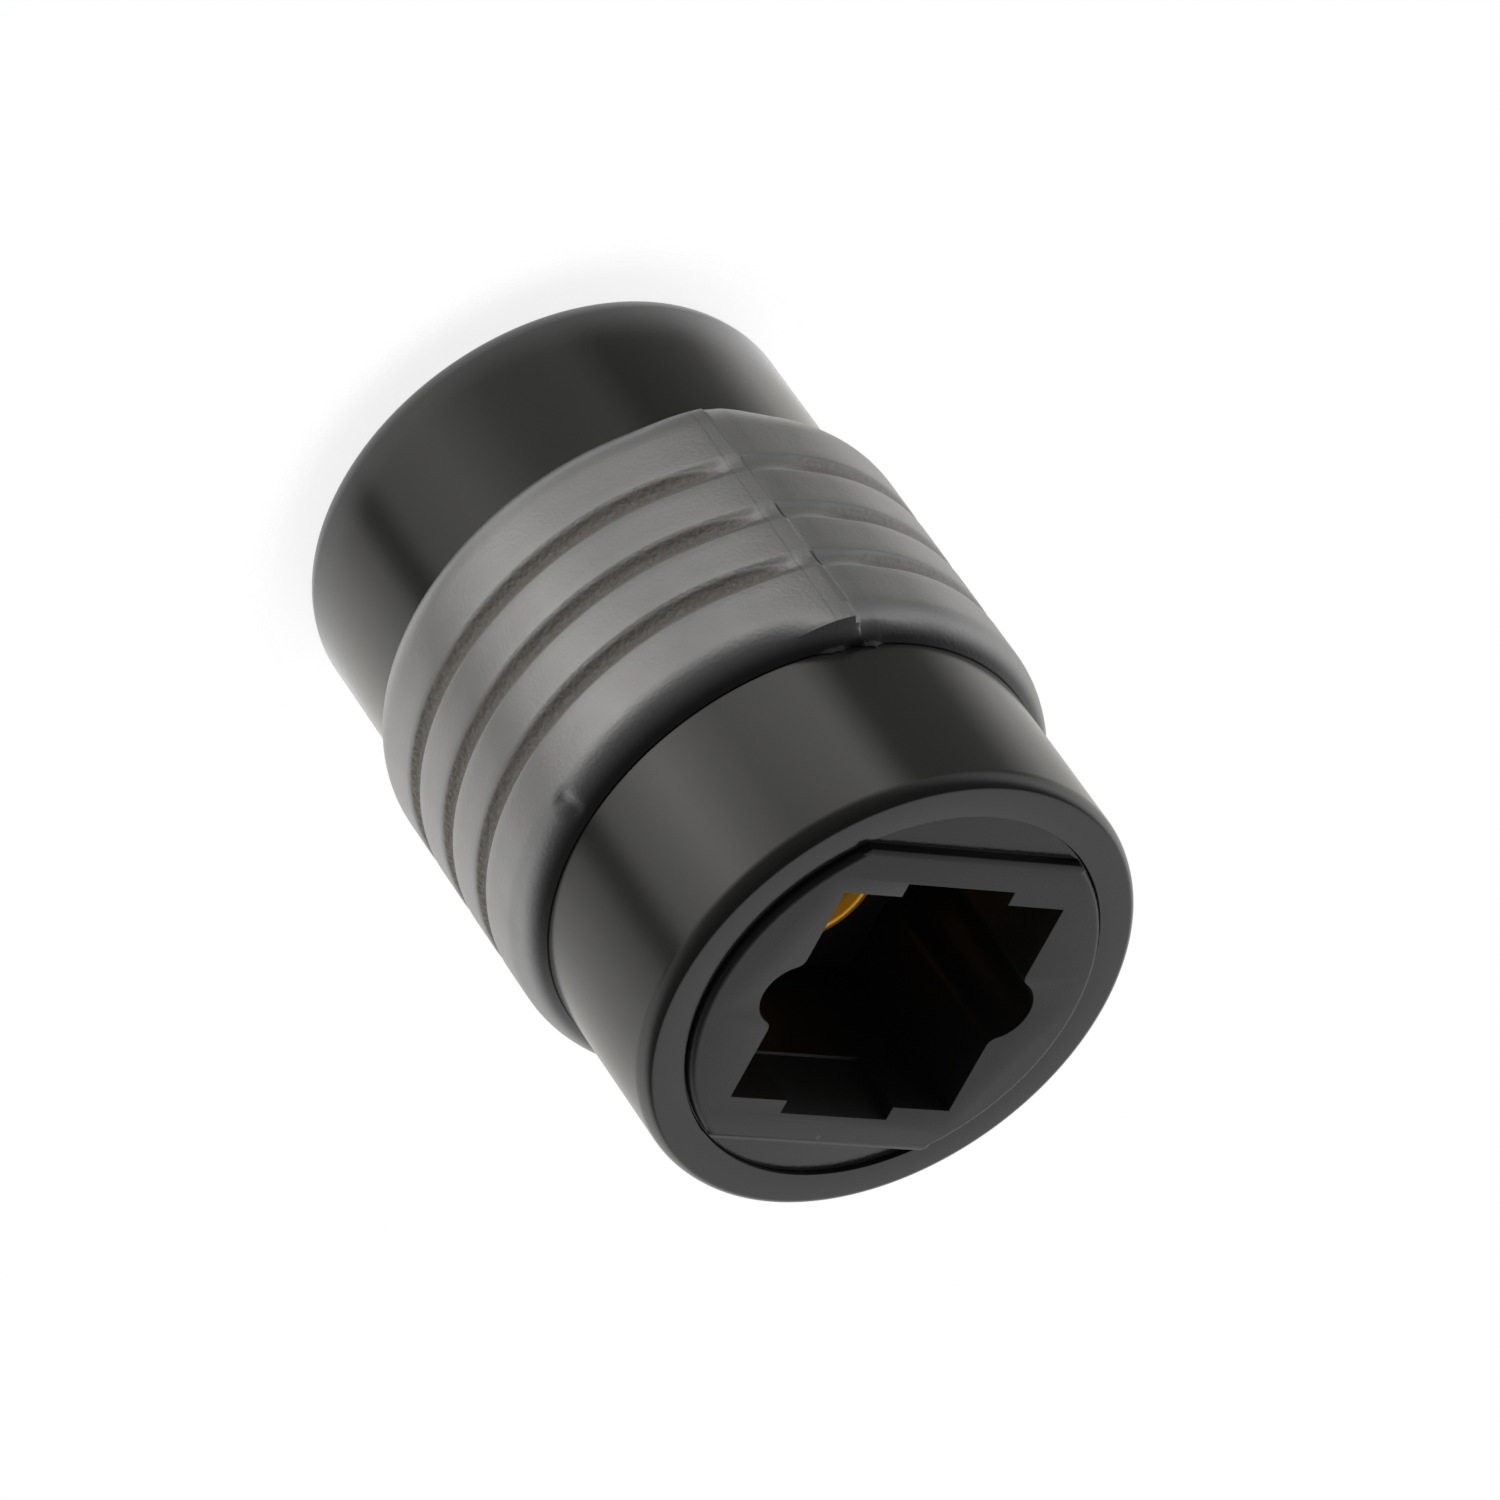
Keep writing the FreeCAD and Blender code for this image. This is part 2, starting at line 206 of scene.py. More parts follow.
def distance_from_middle(tree, place):
    """How far a place lies from the coupler's middle, along its axis."""
    parts = add_node(tree, "ShaderNodeSeparateXYZ", {"Vector": place})
    level = add_node(tree, "ShaderNodeMath", {0: parts.outputs["Z"], 1: COUPLER_MIDDLE}, operation="SUBTRACT")
    height = add_node(tree, "ShaderNodeMath", {0: level.outputs["Value"]}, operation="ABSOLUTE")
    return height.outputs["Value"]


def make_satin_abs():
    """Satin black ABS from a polished mould: a clear dark sheen under a faint haze, duller from wear on the
    rims and painted paler there as a painted sheen, with slight flow marks and dust."""
    material, tree, place = start_material("satin_moulded_abs")
    flow = add_node(tree, "ShaderNodeTexNoise", {"Vector": place, "Scale": per(3.0 * MM), "Detail": 3.0})
    plastic = add_node(tree, "ShaderNodeMix", {
        "Factor": flow.outputs["Fac"], "A": linear("#1a1a18"), "B": linear("#20201d")}, data_type="RGBA")
    tone = add_node(tree, "ShaderNodeMix", {
        "Factor": dust_specks(tree, place, 3.0 * MM, 0.12 * MM), "A": plastic.outputs["Result"],
        "B": linear("#6a6a64")}, data_type="RGBA")
    polish = add_node(tree, "ShaderNodeMapRange", {
        "Value": flow.outputs["Fac"], "To Min": 0.13, "To Max": 0.19})
    far = distance_from_middle(tree, place)
    from_side = add_node(tree, "ShaderNodeMapRange", {
        "Value": far, "From Min": RIM_FROM_SIDE[0], "From Max": RIM_FROM_SIDE[1]},
        interpolation_type="SMOOTHSTEP")
    from_end = add_node(tree, "ShaderNodeMapRange", {
        "Value": far, "From Min": RIM_FROM_END[0], "From Max": RIM_FROM_END[1]},
        interpolation_type="SMOOTHSTEP")
    on_rims = add_node(tree, "ShaderNodeMath", {
        0: from_side.outputs["Result"], 1: from_end.outputs["Result"]}, operation="MULTIPLY")
    roughness = add_node(tree, "ShaderNodeMath", {
        0: on_rims.outputs["Value"], 1: 0.12, 2: polish.outputs["Result"]}, operation="MULTIPLY_ADD")
    # The rims are painted paler, a painted sheen, over the wear that makes them rougher.
    painted_rim_sheen = add_node(tree, "ShaderNodeMix", {
        "Factor": on_rims.outputs["Value"], "A": tone.outputs["Result"], "B": linear("#2e2e2b")},
        data_type="RGBA")
    skin = add_node(tree, "ShaderNodeTexNoise", {"Vector": place, "Scale": per(0.35 * MM), "Detail": 2.0})
    bump = add_node(tree, "ShaderNodeBump", {
        "Height": skin.outputs["Fac"], "Strength": 0.05, "Distance": 0.02 * MM})
    shader = add_node(tree, "ShaderNodeBsdfPrincipled", {
        "Base Color": painted_rim_sheen.outputs["Result"], "Roughness": roughness.outputs["Value"], "IOR": 1.54,
        "Specular IOR Level": 0.68, "Coat Weight": 0.3, "Coat Roughness": 0.6, "Coat IOR": 1.5,
        "Normal": bump.outputs["Normal"]})
    show_surface(tree, shader.outputs["BSDF"])
    return material


def make_matt_abs():
    """Matt black ABS: a finely grained face from a spark-eroded mould, smooth on its sunk flats, and dust."""
    material, tree, place = start_material("matt_moulded_abs")
    cloud = add_node(tree, "ShaderNodeTexNoise", {"Vector": place, "Scale": per(1.6 * MM), "Detail": 4.0})
    plastic = add_node(tree, "ShaderNodeMix", {
        "Factor": cloud.outputs["Fac"], "A": linear("#2a2a28"), "B": linear("#343432")}, data_type="RGBA")
    tone = add_node(tree, "ShaderNodeMix", {
        "Factor": dust_specks(tree, place, 2.6 * MM, 0.12 * MM), "A": plastic.outputs["Result"],
        "B": linear("#8a8a82")}, data_type="RGBA")
    parts = add_node(tree, "ShaderNodeSeparateXYZ", {"Vector": place})
    aside = add_node(tree, "ShaderNodeMath", {0: parts.outputs["Y"]}, operation="ABSOLUTE")
    roughness = add_node(tree, "ShaderNodeMapRange", {
        "Value": aside.outputs["Value"], "From Min": FLAT_REACH, "From Max": FLAT_REACH + 0.02 * MM,
        "To Min": 0.42, "To Max": 0.16})
    grain = add_node(tree, "ShaderNodeTexNoise", {"Vector": place, "Scale": per(0.09 * MM), "Detail": 2.0})
    bump = add_node(tree, "ShaderNodeBump", {
        "Height": grain.outputs["Fac"], "Strength": 0.25, "Distance": 0.02 * MM})
    shader = add_node(tree, "ShaderNodeBsdfPrincipled", {
        "Base Color": tone.outputs["Result"], "Roughness": roughness.outputs["Result"], "IOR": 1.54,
        "Specular IOR Level": 0.6, "Normal": bump.outputs["Normal"]})
    show_surface(tree, shader.outputs["BSDF"])
    return material


def make_flake_rubber():
    """Grey rubber with metal flake in its skin, from a sand-blasted mould: it shines like a dull metal where
    it faces the light and goes dark where it turns away, with lumps of brown dust in the grooves."""
    material, tree, place = start_material("moulded_flake_rubber")
    cloud = add_node(tree, "ShaderNodeTexNoise", {"Vector": place, "Scale": per(1.2 * MM), "Detail": 4.0})
    skin = add_node(tree, "ShaderNodeMix", {
        "Factor": cloud.outputs["Fac"], "A": linear("#a6a6a8"), "B": linear("#b4b4b5")}, data_type="RGBA")

    # How far a place lies to the left of the nearer parting line.
    seam = SEAM_ANGLES[0]
    left_of = add_node(tree, "ShaderNodeVectorMath", {
        0: place, 1: (-math.sin(seam), math.cos(seam), 0.0)}, operation="DOT_PRODUCT")
    along = add_node(tree, "ShaderNodeVectorMath", {
        0: place, 1: (math.cos(seam), math.sin(seam), 0.0)}, operation="DOT_PRODUCT")
    which = add_node(tree, "ShaderNodeMath", {0: along.outputs["Value"]}, operation="SIGN")
    beside = add_node(tree, "ShaderNodeMath", {
        0: left_of.outputs["Value"], 1: which.outputs["Value"]}, operation="MULTIPLY")

    # Dust lies where the surface is below the ribs, between the shoulders, and more on one half.
    across = add_node(tree, "ShaderNodeVectorMath", {0: place, 1: (1.0, 1.0, 0.0)}, operation="MULTIPLY")
    reach = add_node(tree, "ShaderNodeVectorMath", {0: across.outputs["Vector"]}, operation="LENGTH")
    sunk = add_node(tree, "ShaderNodeMapRange", {
        "Value": reach.outputs["Value"], "From Min": GRIP_RADIUS - 0.01 * MM,
        "From Max": GRIP_RADIUS - 0.08 * MM}, interpolation_type="SMOOTHSTEP")
    parts = add_node(tree, "ShaderNodeSeparateXYZ", {"Vector": place})
    level = add_node(tree, "ShaderNodeMath", {0: parts.outputs["Z"], 1: MIDDLE}, operation="SUBTRACT")
    height = add_node(tree, "ShaderNodeMath", {0: level.outputs["Value"]}, operation="ABSOLUTE")
    inside = add_node(tree, "ShaderNodeMath", {
        0: height.outputs["Value"], 1: GROOVE_PITCH + GROOVE_HALF}, operation="LESS_THAN")
    lint = add_node(tree, "ShaderNodeTexNoise", {"Vector": place, "Scale": per(0.16 * MM), "Detail": 3.0})
    cover = add_node(tree, "ShaderNodeMapRange", {
        "Value": lint.outputs["Fac"], "From Min": 0.3, "From Max": 0.7, "To Min": 0.5, "To Max": 1.0})
    half = add_node(tree, "ShaderNodeMapRange", {
        "Value": left_of.outputs["Value"], "From Min": -1.0 * MM, "From Max": 1.5 * MM, "To Min": 0.35})
    lying = add_node(tree, "ShaderNodeMath", {
        0: sunk.outputs["Result"], 1: inside.outputs["Value"]}, operation="MULTIPLY")
    thick = add_node(tree, "ShaderNodeMath", {
        0: lying.outputs["Value"], 1: half.outputs["Result"]}, operation="MULTIPLY")
    dust = add_node(tree, "ShaderNodeMath", {
        0: thick.outputs["Value"], 1: cover.outputs["Result"]}, operation="MULTIPLY")
    dusty = add_node(tree, "ShaderNodeMix", {
        "Factor": dust.outputs["Value"], "A": skin.outputs["Result"], "B": linear("#969089")},
        data_type="RGBA")

    # Painted shade at the foot of the shoulders, by the barrel, and a thin dark line along each strip edge.
    foot = add_node(tree, "ShaderNodeMapRange", {
        "Value": reach.outputs["Value"], "From Min": BARREL_RADIUS + 0.62 * MM,
        "From Max": BARREL_RADIUS + 0.15 * MM, "To Max": 0.8}, interpolation_type="SMOOTHSTEP")
    within = add_node(tree, "ShaderNodeMapRange", {
        "Value": height.outputs["Value"], "From Min": GRIP_HALF + 0.04 * MM,
        "From Max": GRIP_HALF + 0.01 * MM, "To Min": 0.5})
    painted_foot_shade = add_node(tree, "ShaderNodeMath", {
        0: foot.outputs["Result"], 1: within.outputs["Result"]}, operation="MULTIPLY")
    strip_share = add_node(tree, "ShaderNodeMapRange", {
        "Value": level.outputs["Value"], "From Min": -GRIP_HALF, "From Max": GRIP_HALF})
    gaps = []
    for rear, front in (STRIP_RIGHT, STRIP_LEFT):
        edge = add_node(tree, "ShaderNodeMapRange", {
            "Value": strip_share.outputs["Result"], "To Min": rear, "To Max": front})
        off = add_node(tree, "ShaderNodeMath", {
            0: beside.outputs["Value"], 1: edge.outputs["Result"]}, operation="SUBTRACT")
        gaps.append(add_node(tree, "ShaderNodeMath", {0: off.outputs["Value"]}, operation="ABSOLUTE"))
    gap = add_node(tree, "ShaderNodeMath", {
        0: gaps[0].outputs["Value"], 1: gaps[1].outputs["Value"]}, operation="MINIMUM")
    line = add_node(tree, "ShaderNodeMapRange", {
        "Value": gap.outputs["Value"], "From Min": 0.05 * MM, "From Max": 0.01 * MM, "To Max": 0.18},
        interpolation_type="SMOOTHSTEP")
    foot_shade_and_lines = add_node(tree, "ShaderNodeMath", {
        0: painted_foot_shade.outputs["Value"], 1: line.outputs["Result"]}, operation="MAXIMUM")
    # The painted shade at the shoulders' foot and the thin strip lines darken the skin here.
    tone = add_node(tree, "ShaderNodeMix", {
        "Factor": foot_shade_and_lines.outputs["Value"], "A": dusty.outputs["Result"], "B": linear("#1c1a18")},
        data_type="RGBA")
    metal = add_node(tree, "ShaderNodeMapRange", {
        "Value": dust.outputs["Value"], "To Min": 0.8, "To Max": 0.1})
    roughness = add_node(tree, "ShaderNodeMapRange", {
        "Value": dust.outputs["Value"], "To Min": 0.39, "To Max": 0.8})
    grain = add_node(tree, "ShaderNodeTexNoise", {"Vector": place, "Scale": per(0.12 * MM), "Detail": 3.0})
    bump = add_node(tree, "ShaderNodeBump", {
        "Height": grain.outputs["Fac"], "Strength": 0.3, "Distance": 0.03 * MM})
    lumps = add_node(tree, "ShaderNodeMath", {
        0: lint.outputs["Fac"], 1: dust.outputs["Value"]}, operation="MULTIPLY")
    lumpy = add_node(tree, "ShaderNodeBump", {
        "Height": lumps.outputs["Value"], "Strength": 0.5, "Distance": 0.1 * MM,
        "Normal": bump.outputs["Normal"]})
    shader = add_node(tree, "ShaderNodeBsdfPrincipled", {
        "Base Color": tone.outputs["Result"], "Roughness": roughness.outputs["Result"], "IOR": 1.5,
        "Metallic": metal.outputs["Result"], "Normal": lumpy.outputs["Normal"]})
    show_surface(tree, shader.outputs["BSDF"])
    return material


def make_turned_brass():
    """Turned brass: a warm metal with fine tool lines round it, which draw a highlight across them.

    It glows a little, as in the photograph, where light comes in through the open far end of its bore. The
    coupler stands on that end here."""
    material, tree, place = start_material("turned_brass")
    lines = add_node(tree, "ShaderNodeTexNoise", {
        "Vector": add_node(tree, "ShaderNodeMapping", {
            "Vector": place, "Scale": (0.0, 0.0, 1.0)}).outputs["Vector"],
        "Scale": per(0.06 * MM), "Detail": 2.0})
    bump = add_node(tree, "ShaderNodeBump", {
        "Height": lines.outputs["Fac"], "Strength": 0.3, "Distance": 0.01 * MM})
    # Painted glow near the mouth: orange emission standing in for light through the bore's far end.
    glow = add_node(tree, "ShaderNodeMapRange", {
        "Value": distance_from_middle(tree, place), "From Min": MOUTH_GLOW[0], "From Max": MOUTH_GLOW[1],
        "To Max": 0.085}, interpolation_type="SMOOTHSTEP")
    shader = add_node(tree, "ShaderNodeBsdfPrincipled", {
        "Base Color": linear("#e3b64a"), "Metallic": 1.0, "Roughness": 0.3,
        "Emission Color": linear("#ffa000"), "Emission Strength": glow.outputs["Result"],
        "Normal": bump.outputs["Normal"]})
    show_surface(tree, shader.outputs["BSDF"])
    return material


def make_white_table():
    """White paper on a light table: it looks white, takes a soft shadow and fades out to its edge."""
    material, tree, place = start_material("white_table_paper")
    paper = add_node(tree, "ShaderNodeBsdfDiffuse", {"Color": linear("#f2f2f2")})
    path = add_node(tree, "ShaderNodeLightPath")
    seen = add_node(tree, "ShaderNodeMath", {
        0: path.outputs["Is Camera Ray"], 1: path.outputs["Is Glossy Ray"]}, operation="MAXIMUM")
    shown = add_node(tree, "ShaderNodeMath", {
        0: seen.outputs["Value"], 1: path.outputs["Is Transmission Ray"]}, operation="MAXIMUM")
    strength = add_node(tree, "ShaderNodeMath", {
        0: shown.outputs["Value"], 1: TABLE_GLOW}, operation="MULTIPLY")
    glow = add_node(tree, "ShaderNodeEmission", {"Strength": strength.outputs["Value"]})
    both = add_node(tree, "ShaderNodeAddShader", {0: paper.outputs["BSDF"], 1: glow.outputs["Emission"]})
    reach = add_node(tree, "ShaderNodeVectorMath", {0: place}, operation="LENGTH")
    fade = add_node(tree, "ShaderNodeMapRange", {
        "Value": reach.outputs["Value"], "From Min": TABLE_FULL, "From Max": TABLE_EDGE},
        interpolation_type="SMOOTHSTEP")
    clear = add_node(tree, "ShaderNodeBsdfTransparent")
    mixed = add_node(tree, "ShaderNodeMixShader", {
        0: fade.outputs["Result"], 1: both.outputs["Shader"], 2: clear.outputs["BSDF"]})
    show_surface(tree, mixed.outputs["Shader"])
    return material


def ease(share):
    """Go from 0 to 1 with a level start and end."""
    share = min(max(share, 0.0), 1.0)
    return share * share * (3 - 2 * share)


def grip_outline():
    """The grip's closed half section as radius and level: rear shoulder, four ribs, front shoulder, seat."""
    rise = GRIP_RADIUS - BARREL_RADIUS - LIP
    arc = (rise**2 + SHOULDER**2) / (2 * rise)
    sweep = math.atan2(SHOULDER, arc - rise)
    crest_end = GRIP_HALF - SHOULDER
    turns = [sweep * i / SHOULDER_STEPS for i in range(SHOULDER_STEPS + 1)]
    front = [(GRIP_RADIUS - arc * (1 - math.cos(turn)), crest_end + arc * math.sin(turn)) for turn in turns]
    rear = [(radius, -level) for radius, level in reversed(front)]
    shares = [i / GROOVE_STEPS for i in range(GROOVE_STEPS + 1)]
    down, up = GROOVE_BOTTOM[0] + GROOVE_HALF, GROOVE_HALF - GROOVE_BOTTOM[1]
    rear_wall = [(GROOVE_DEPTH * ease(share), -GROOVE_HALF + down * share) for share in shares]
    front_wall = [(GROOVE_DEPTH * ease(1 - share), GROOVE_BOTTOM[1] + up * share) for share in shares]
    groove_outline = rear_wall + front_wall
    ribs = []
    crest = range(1, CREST_STEPS)
    previous = -crest_end
    for groove in GROOVE_LEVELS:
        start = groove - GROOVE_HALF
        ribs += [(GRIP_RADIUS, previous + (start - previous) * i / CREST_STEPS) for i in crest]
        ribs += [(GRIP_RADIUS - depth, groove + out) for depth, out in groove_outline]
        previous = groove + GROOVE_HALF
    ribs += [(GRIP_RADIUS, previous + (crest_end - previous) * i / CREST_STEPS) for i in crest]
    seat = BARREL_RADIUS + SEAT_GAP
    section = rear + ribs + front + [(seat, GRIP_HALF), (seat, -GRIP_HALF)]
    return [(radius, MIDDLE + level) for radius, level in section]


def corner_round(centre, radius, first, last, steps):
    """Points of a round corner as radius and level, from one angle to another in degrees."""
    angles = [math.radians(first + (last - first) * i / steps) for i in range(steps + 1)]
    return [(centre[0] + radius * math.cos(a), centre[1] + radius * math.sin(a)) for a in angles]


def barrel_outline():
    """The barrel's closed half section: a tube whose rims curve in slowly, then fast, to the flat ring."""
    low, high = barrel_low.z, barrel_high.z
    inner = BORE_RADIUS + INNER_ROUND
    rim = [(BARREL_RADIUS - inwards * MM, below * MM) for inwards, below in RIM_CURVE]
    return ([(radius, low + below) for radius, below in reversed(rim)]
            + [(radius, high - below) for radius, below in rim]
            + corner_round((inner, high - INNER_ROUND), INNER_ROUND, 90, 180, 4)
            + corner_round((inner, low + INNER_ROUND), INNER_ROUND, 180, 270, 4))


def draw_and_spin(name, outline, angle):
    """Draw a closed half section at an angle, vertex by vertex, and spin it round the axis."""
    out = Vector((math.cos(angle), math.sin(angle), 0))
    points = [out * radius + Vector((0, 0, level)) for radius, level in outline]
    bpy.ops.object.select_all(action="DESELECT")
    bpy.ops.mesh.primitive_plane_add(size=MM, location=points[0])
    piece = bpy.context.object
    piece.name = name
    bpy.ops.object.mode_set(mode="EDIT")
    bpy.ops.mesh.select_mode(type="VERT")
    bpy.ops.mesh.select_all(action="SELECT")
    bpy.ops.mesh.merge(type="CENTER")
    for here, there in zip(points, points[1:] + points[:1]):
        bpy.ops.mesh.extrude_vertices_move(TRANSFORM_OT_translate={"value": there - here})
    bpy.ops.mesh.select_all(action="SELECT")
    bpy.ops.mesh.remove_doubles(threshold=CLOSE)
    bpy.ops.mesh.spin(steps=SPIN_STEPS, angle=2 * math.pi, center=(0, 0, 0), axis=(0, 0, 1))
    bpy.ops.mesh.select_all(action="SELECT")
    bpy.ops.mesh.remove_doubles(threshold=CLOSE)
    bpy.ops.mesh.normals_make_consistent(inside=False)
    bpy.ops.object.mode_set(mode="OBJECT")
    bpy.ops.object.transform_apply(location=True, rotation=True, scale=True)
    return piece


def select_where(kind, test):
    """In edit mode, select only the vertices, edges or faces whose middle passes a test."""
    bpy.ops.mesh.select_mode(type=kind)
    bpy.ops.mesh.select_all(action="DESELECT")
    data = bpy.context.object.data
    mesh = bmesh.from_edit_mesh(data)
    items = {"VERT": mesh.verts, "EDGE": mesh.edges, "FACE": mesh.faces}[kind]
    for item in items:
        corners = [item] if kind == "VERT" else item.verts
        if test(sum((corner.co for corner in corners), Vector()) / len(corners)):
            item.select_set(True)
    bmesh.update_edit_mesh(data)


def turn_from(place, angle):
    """How far a place lies round the axis from an angle, in degrees from -180 to 180."""
    return (math.degrees(math.atan2(place.y, place.x) - angle) + 180) % 360 - 180


def push(move, reach):
    """Move what is selected, and what is near it less and less."""
    bpy.ops.transform.translate(value=move, use_proportional_edit=True, proportional_size=reach,
                                proportional_edit_falloff="SMOOTH")


def strip_edge(level, ends):
    """Where one edge of a parting strip runs beside the parting line, from its places at both ends."""
    share = (level + GRIP_HALF) / (2 * GRIP_HALF)
    return ends[0] + (ends[1] - ends[0]) * share


def seam_radius(radius, level, turn, before):
    """The radius of a place on the grip beside a seam, from its radius before the seam is shaped. A turn is
    counted to the left of the seam, and before is the turn from one column of vertices to the next."""
    crest_end = GRIP_HALF - SHOULDER
    groove = min(GROOVE_LEVELS, key=lambda middle: abs(level - middle))

    # The grooves are filled under the strip and run out towards it, but for a slit past the strip.
    if abs(level - groove) < GROOVE_HALF and radius < GRIP_RADIUS:
        if -1.5 * before < turn < 3.5 * before:
            fill = STRIP_FILL
        elif -2.5 * before < turn < 0:
            fill = SLIT_FILL
        elif turn > 0:
            fill = LEFT_FILL * ease((LEFT_TURN - turn) / LEFT_RUN)
        else:
            fill = RIGHT_FILL * ease((RIGHT_TURN + turn) / RIGHT_RUN)
        radius = GRIP_RADIUS - (GRIP_RADIUS - radius) * (1 - fill)

    # The half with the strip ends in a sharp wedge at the front, and the other half is a little fuller.
    past = abs(level) - crest_end
    if past > 0:
        down = (past - SHOULDER + WEDGE_LENGTH) / WEDGE_LENGTH
        wedge = GRIP_RADIUS - max(down, 0.0) * (GRIP_RADIUS - BARREL_RADIUS - LIP)
        share = ease(1 - (abs(turn) - WEDGE_TOP) / WEDGE_TURN)
        if level < 0:
            share = share * WEDGE_AT_REAR
        elif turn < -before:
            share = share * WEDGE_ON_RIGHT
        radius = radius + max(wedge - radius, 0.0) * share
    return radius + RIDGE_HEIGHT * max(1 - abs(turn) / RIDGE_TURN, 0.0)**1.5


def flash_reach(turn):
    """How far the flash reaches at a turn from the parting line, in two ragged tongues that run out."""
    tongue = max(ease(1 - abs(turn - middle) / width) for middle, width in FLASH_TONGUES)
    return FLASH_LENGTH * tongue * (0.75 + 0.25 * math.sin(2.3 * turn))


def mould_seam(angle):
    """Shape one parting line: a ridge with a strip, run-out grooves, a wedge at the front, and flash."""
    step = 360 / SPIN_STEPS
    clear = BARREL_RADIUS + LIP + CLOSE
    data = bpy.context.object.data
    mesh = bmesh.from_edit_mesh(data)
    for vertex in mesh.verts:
        turn = turn_from(vertex.co, angle)
        if abs(turn) > SEAM_TURN or vertex.co.xy.length < clear:
            continue
        level = vertex.co.z - MIDDLE
        radius = seam_radius(vertex.co.xy.length, level, turn, step)
        column = round(turn / step)
        right = strip_edge(level, STRIP_RIGHT)
        arc = {-3: right - 2 * SLIT_WIDTH, -2: right - SLIT_WIDTH, -1: right}.get(column)
        if arc is not None:
            turn = math.degrees(arc / radius)
        place = angle + math.radians(turn)
        vertex.co = (radius * math.cos(place), radius * math.sin(place), vertex.co.z)
    bmesh.update_edit_mesh(data)

    # Flash that has crept out of the mould onto the barrel, on both sides of the wedge's wall.
    for vertex in mesh.verts:
        turn = turn_from(vertex.co, angle)
        if abs(vertex.co.z - MIDDLE - GRIP_HALF) < CLOSE and abs(turn) < WEDGE_TURN:
            vertex.co.z += flash_reach(turn)
    bmesh.update_edit_mesh(data)


def make_grip():
    """Model the grip as its mould leaves it, with two parting lines and a small dent on its shoulder."""
    piece = draw_and_spin("ribbed_grip", grip_outline(), SEAM_ANGLES[0])
    bpy.ops.object.mode_set(mode="EDIT")
    for angle in SEAM_ANGLES:
        mould_seam(angle)
    dent = Vector((math.cos(DENT_ANGLE), math.sin(DENT_ANGLE), 0))
    select_where("VERT", lambda place: abs(turn_from(place, DENT_ANGLE)) < DENT_TURN
                 and DENT_SPAN[0] < (place.z - MIDDLE - GRIP_HALF + SHOULDER) / SHOULDER < DENT_SPAN[1])
    push(dent * -DENT_DEPTH, DENT_REACH)
    bpy.ops.mesh.select_all(action="SELECT")
    bpy.ops.mesh.normals_make_consistent(inside=False)
    bpy.ops.object.mode_set(mode="OBJECT")
    bpy.ops.object.shade_smooth_by_angle(angle=math.radians(24))
    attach(piece, BODY)
    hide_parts("grip")
    return piece


def make_barrel():
    """Model the barrel with its curved rims, as smooth as its polished mould leaves them."""
    piece = draw_and_spin("satin_barrel", barrel_outline(), 0.0)
    bpy.ops.object.shade_smooth_by_angle(angle=math.radians(30))
    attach(piece, BODY)
    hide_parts("barrel")
    return piece


def soften(node, name, width):
    """Model a solid again with a small round on every edge. A socket's notches get a sloping floor, and its
    face a wider round at its outer edge."""
    piece = bpy.data.objects.new(name, nodes[node].data.copy())
    bpy.context.scene.collection.objects.link(piece)
    bpy.ops.object.select_all(action="DESELECT")
    bpy.context.view_layer.objects.active = piece
    piece.select_set(True)
    bpy.ops.object.mode_set(mode="EDIT")
    bpy.ops.mesh.select_all(action="SELECT")
    bpy.ops.mesh.customdata_custom_splitnormals_clear()
    bpy.ops.mesh.remove_doubles(threshold=MERGE)
    bpy.ops.mesh.dissolve_limited(angle_limit=math.radians(1))
    for side in (-1, 1):
        select_where("VERT", lambda place: abs(place.y - side * NOTCH_REACH) < SEAT_GAP
                     and abs(place.x) < NOTCH_HALF
                     and min(abs(place.z - end) for end in NOTCH_ENDS) < SEAT_GAP)
        bpy.ops.transform.translate(value=(0, -side * RAMP_RISE, 0))
    select_where("EDGE", lambda place: place.xy.length > FACE_RADIUS
                 and abs(place.z - COUPLER_MIDDLE) > FACE_LEVEL)
    bpy.ops.mesh.bevel(offset=FACE_ROUND, segments=6, affect="EDGES")
    bpy.ops.object.mode_set(mode="OBJECT")
    bevel = piece.modifiers.new("edge_round", "BEVEL")
    bevel.width = width
    bevel.segments = 3
    bevel.limit_method = "ANGLE"
    bevel.angle_limit = math.radians(35)
    bpy.ops.object.modifier_apply(modifier=bevel.name)
    bpy.ops.object.shade_smooth_by_angle(angle=math.radians(30))
    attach(piece, BODY)
    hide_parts(node)
    return piece


def paint(piece, material):
    """Give a piece one material all over."""
    piece.data.materials.clear()
    piece.data.materials.append(material)


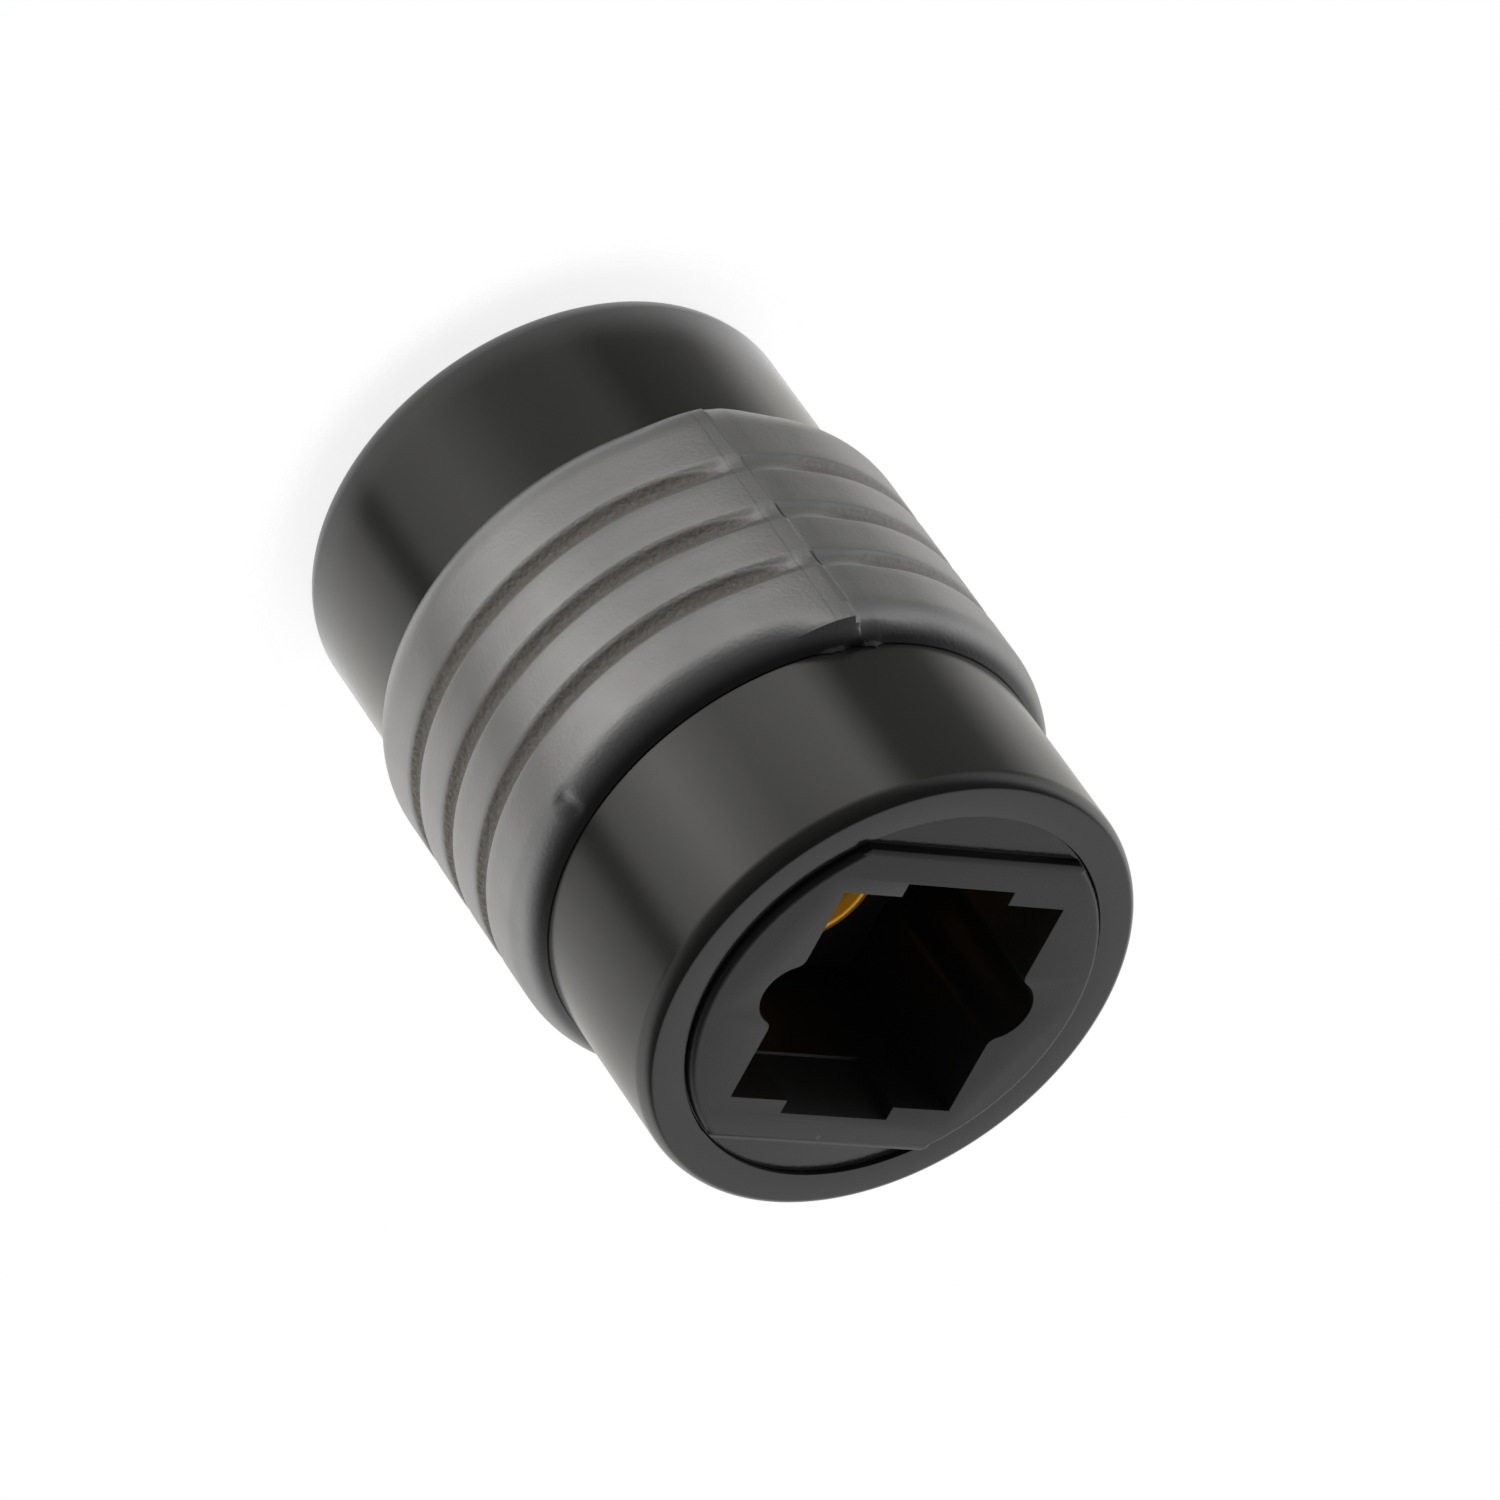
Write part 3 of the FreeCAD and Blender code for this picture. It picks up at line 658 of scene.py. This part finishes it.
def make_tent_cloth():
    """Lit white cloth, hung in panels with dark gaps, and a dark opening on the photograph's side."""
    material, tree, place = start_material("lit_tent_cloth")
    direction = add_node(tree, "ShaderNodeVectorMath", {0: place}, operation="NORMALIZE").outputs["Vector"]
    facing = add_node(tree, "ShaderNodeVectorMath", {0: direction, 1: OPENING}, operation="DOT_PRODUCT")
    wall = add_node(tree, "ShaderNodeMapRange", {
        "Value": facing.outputs["Value"], "From Min": math.cos(math.radians(OPENING_EDGE)),
        "From Max": math.cos(math.radians(OPENING_DARK)), "To Min": 1.0, "To Max": OPENING_LEVEL},
        interpolation_type="SMOOTHSTEP")
    behind = add_node(tree, "ShaderNodeVectorMath", {0: direction, 1: WINDOW}, operation="DOT_PRODUCT")
    window = add_node(tree, "ShaderNodeMapRange", {
        "Value": behind.outputs["Value"], "From Min": math.cos(math.radians(WINDOW_EDGE)),
        "From Max": math.cos(math.radians(WINDOW_FULL)), "To Max": WINDOW_LEVEL},
        interpolation_type="SMOOTHSTEP")
    level = add_node(tree, "ShaderNodeMath", {
        0: wall.outputs["Result"], 1: window.outputs["Result"]}, operation="MAXIMUM")

    # Two rows of panels hang round the lower half, counted by their angle from the photograph's side.
    aside = add_node(tree, "ShaderNodeVectorRotate", {
        "Vector": direction, "Angle": -ASIDE}, rotation_type="Z_AXIS")
    parts = add_node(tree, "ShaderNodeSeparateXYZ", {"Vector": aside.outputs["Vector"]})
    angle = add_node(tree, "ShaderNodeMath", {
        0: parts.outputs["Y"], 1: parts.outputs["X"]}, operation="ARCTAN2")
    share = add_node(tree, "ShaderNodeMapRange", {
        "Value": angle.outputs["Value"], "From Min": -math.pi, "From Max": math.pi})
    rows = []
    for row in (LOW_PANELS, HIGH_PANELS):
        ramp = add_node(tree, "ShaderNodeValToRGB", {"Fac": share.outputs["Result"]})
        stops = ramp.color_ramp.elements
        for degrees, _ in row[1:-1]:
            stops.new((degrees + 180) / 360)
        for stop, (degrees, panel_level) in zip(stops, row):
            stop.position = (degrees + 180) / 360
            stop.color = [panel_level * part for part in CLOTH_TINT] + [1.0]
        rows.append(ramp.outputs["Color"])
    raised = add_node(tree, "ShaderNodeMapRange", {
        "Value": parts.outputs["Z"], "From Min": LOW_ROW, "From Max": HIGH_ROW},
        interpolation_type="SMOOTHSTEP")
    panels = add_node(tree, "ShaderNodeMix", {
        "Factor": raised.outputs["Result"], "A": rows[0], "B": rows[1]}, data_type="RGBA")
    upper = add_node(tree, "ShaderNodeMapRange", {
        "Value": parts.outputs["Z"], "From Min": CLOTH_TOP[0], "From Max": CLOTH_TOP[1]},
        interpolation_type="SMOOTHSTEP")
    cloth = add_node(tree, "ShaderNodeMix", {
        "Factor": upper.outputs["Result"], "A": panels.outputs["Result"], "B": (1.0, 1.0, 1.0, 1.0)},
        data_type="RGBA")
    glow = add_node(tree, "ShaderNodeEmission", {
        "Color": cloth.outputs["Result"], "Strength": level.outputs["Value"]})
    show_surface(tree, glow.outputs["Emission"])
    return material


def set_up_light():
    """Hang the lit tent round the table, out of the camera's sight, before a plain white world."""
    world = bpy.data.worlds.new("white_studio")
    world.use_nodes = True
    tree = world.node_tree
    tree.nodes.clear()
    white = add_node(tree, "ShaderNodeBackground", {"Color": (1.0, 1.0, 1.0, 1.0)})
    add_node(tree, "ShaderNodeOutputWorld", {"Surface": white.outputs["Background"]})
    bpy.context.scene.world = world
    bpy.ops.object.select_all(action="DESELECT")
    bpy.ops.mesh.primitive_uv_sphere_add(segments=64, ring_count=32, radius=TENT_RADIUS,
                                         location=(0, 0, COUPLER_MIDDLE))
    tent = bpy.context.object
    tent.name = "light_tent"
    tent.visible_camera = False
    paint(tent, make_tent_cloth())


def set_up_table():
    """Set the coupler on a small round table whose edge fades into the white round it."""
    bpy.ops.object.select_all(action="DESELECT")
    bpy.ops.mesh.primitive_circle_add(vertices=96, radius=TABLE_EDGE, fill_type="NGON",
                                      location=(0, 0, -TABLE_GAP))
    table = bpy.context.object
    table.name = "table"
    paint(table, make_white_table())


def set_up_camera():
    """Put the camera where the photograph's was, turned and framed as it was."""
    data = bpy.data.cameras.new("camera")
    data.lens = LENS
    data.sensor_width = SENSOR
    data.shift_x, data.shift_y = SHIFT
    data.clip_start = 0.01
    data.clip_end = 10.0
    camera = bpy.data.objects.new("camera", data)
    bpy.context.scene.collection.objects.link(camera)
    right = PICTURE_UP.cross(TO_CAMERA).normalized()
    up = TO_CAMERA.cross(right)
    turn = Matrix((right, up, TO_CAMERA)).transposed()
    place = Vector((0, 0, AIM_HEIGHT)) + TO_CAMERA * CAMERA_DISTANCE
    camera.matrix_world = Matrix.Translation(place) @ turn.to_4x4()
    bpy.context.scene.camera = camera


bpy.context.scene.view_settings.view_transform = "Standard"
satin_abs = make_satin_abs()
matt_abs = make_matt_abs()
flake_rubber = make_flake_rubber()
turned_brass = make_turned_brass()
paint(make_barrel(), satin_abs)
paint(soften("front_socket", "front_plug_socket", EDGE_ROUND), matt_abs)
paint(soften("rear_socket", "rear_plug_socket", EDGE_ROUND), matt_abs)
paint(soften("ferrule_sleeve", "brass_sleeve", MOUTH_ROUND), turned_brass)
paint(make_grip(), flake_rubber)

set_up_table()
set_up_light()
set_up_camera()
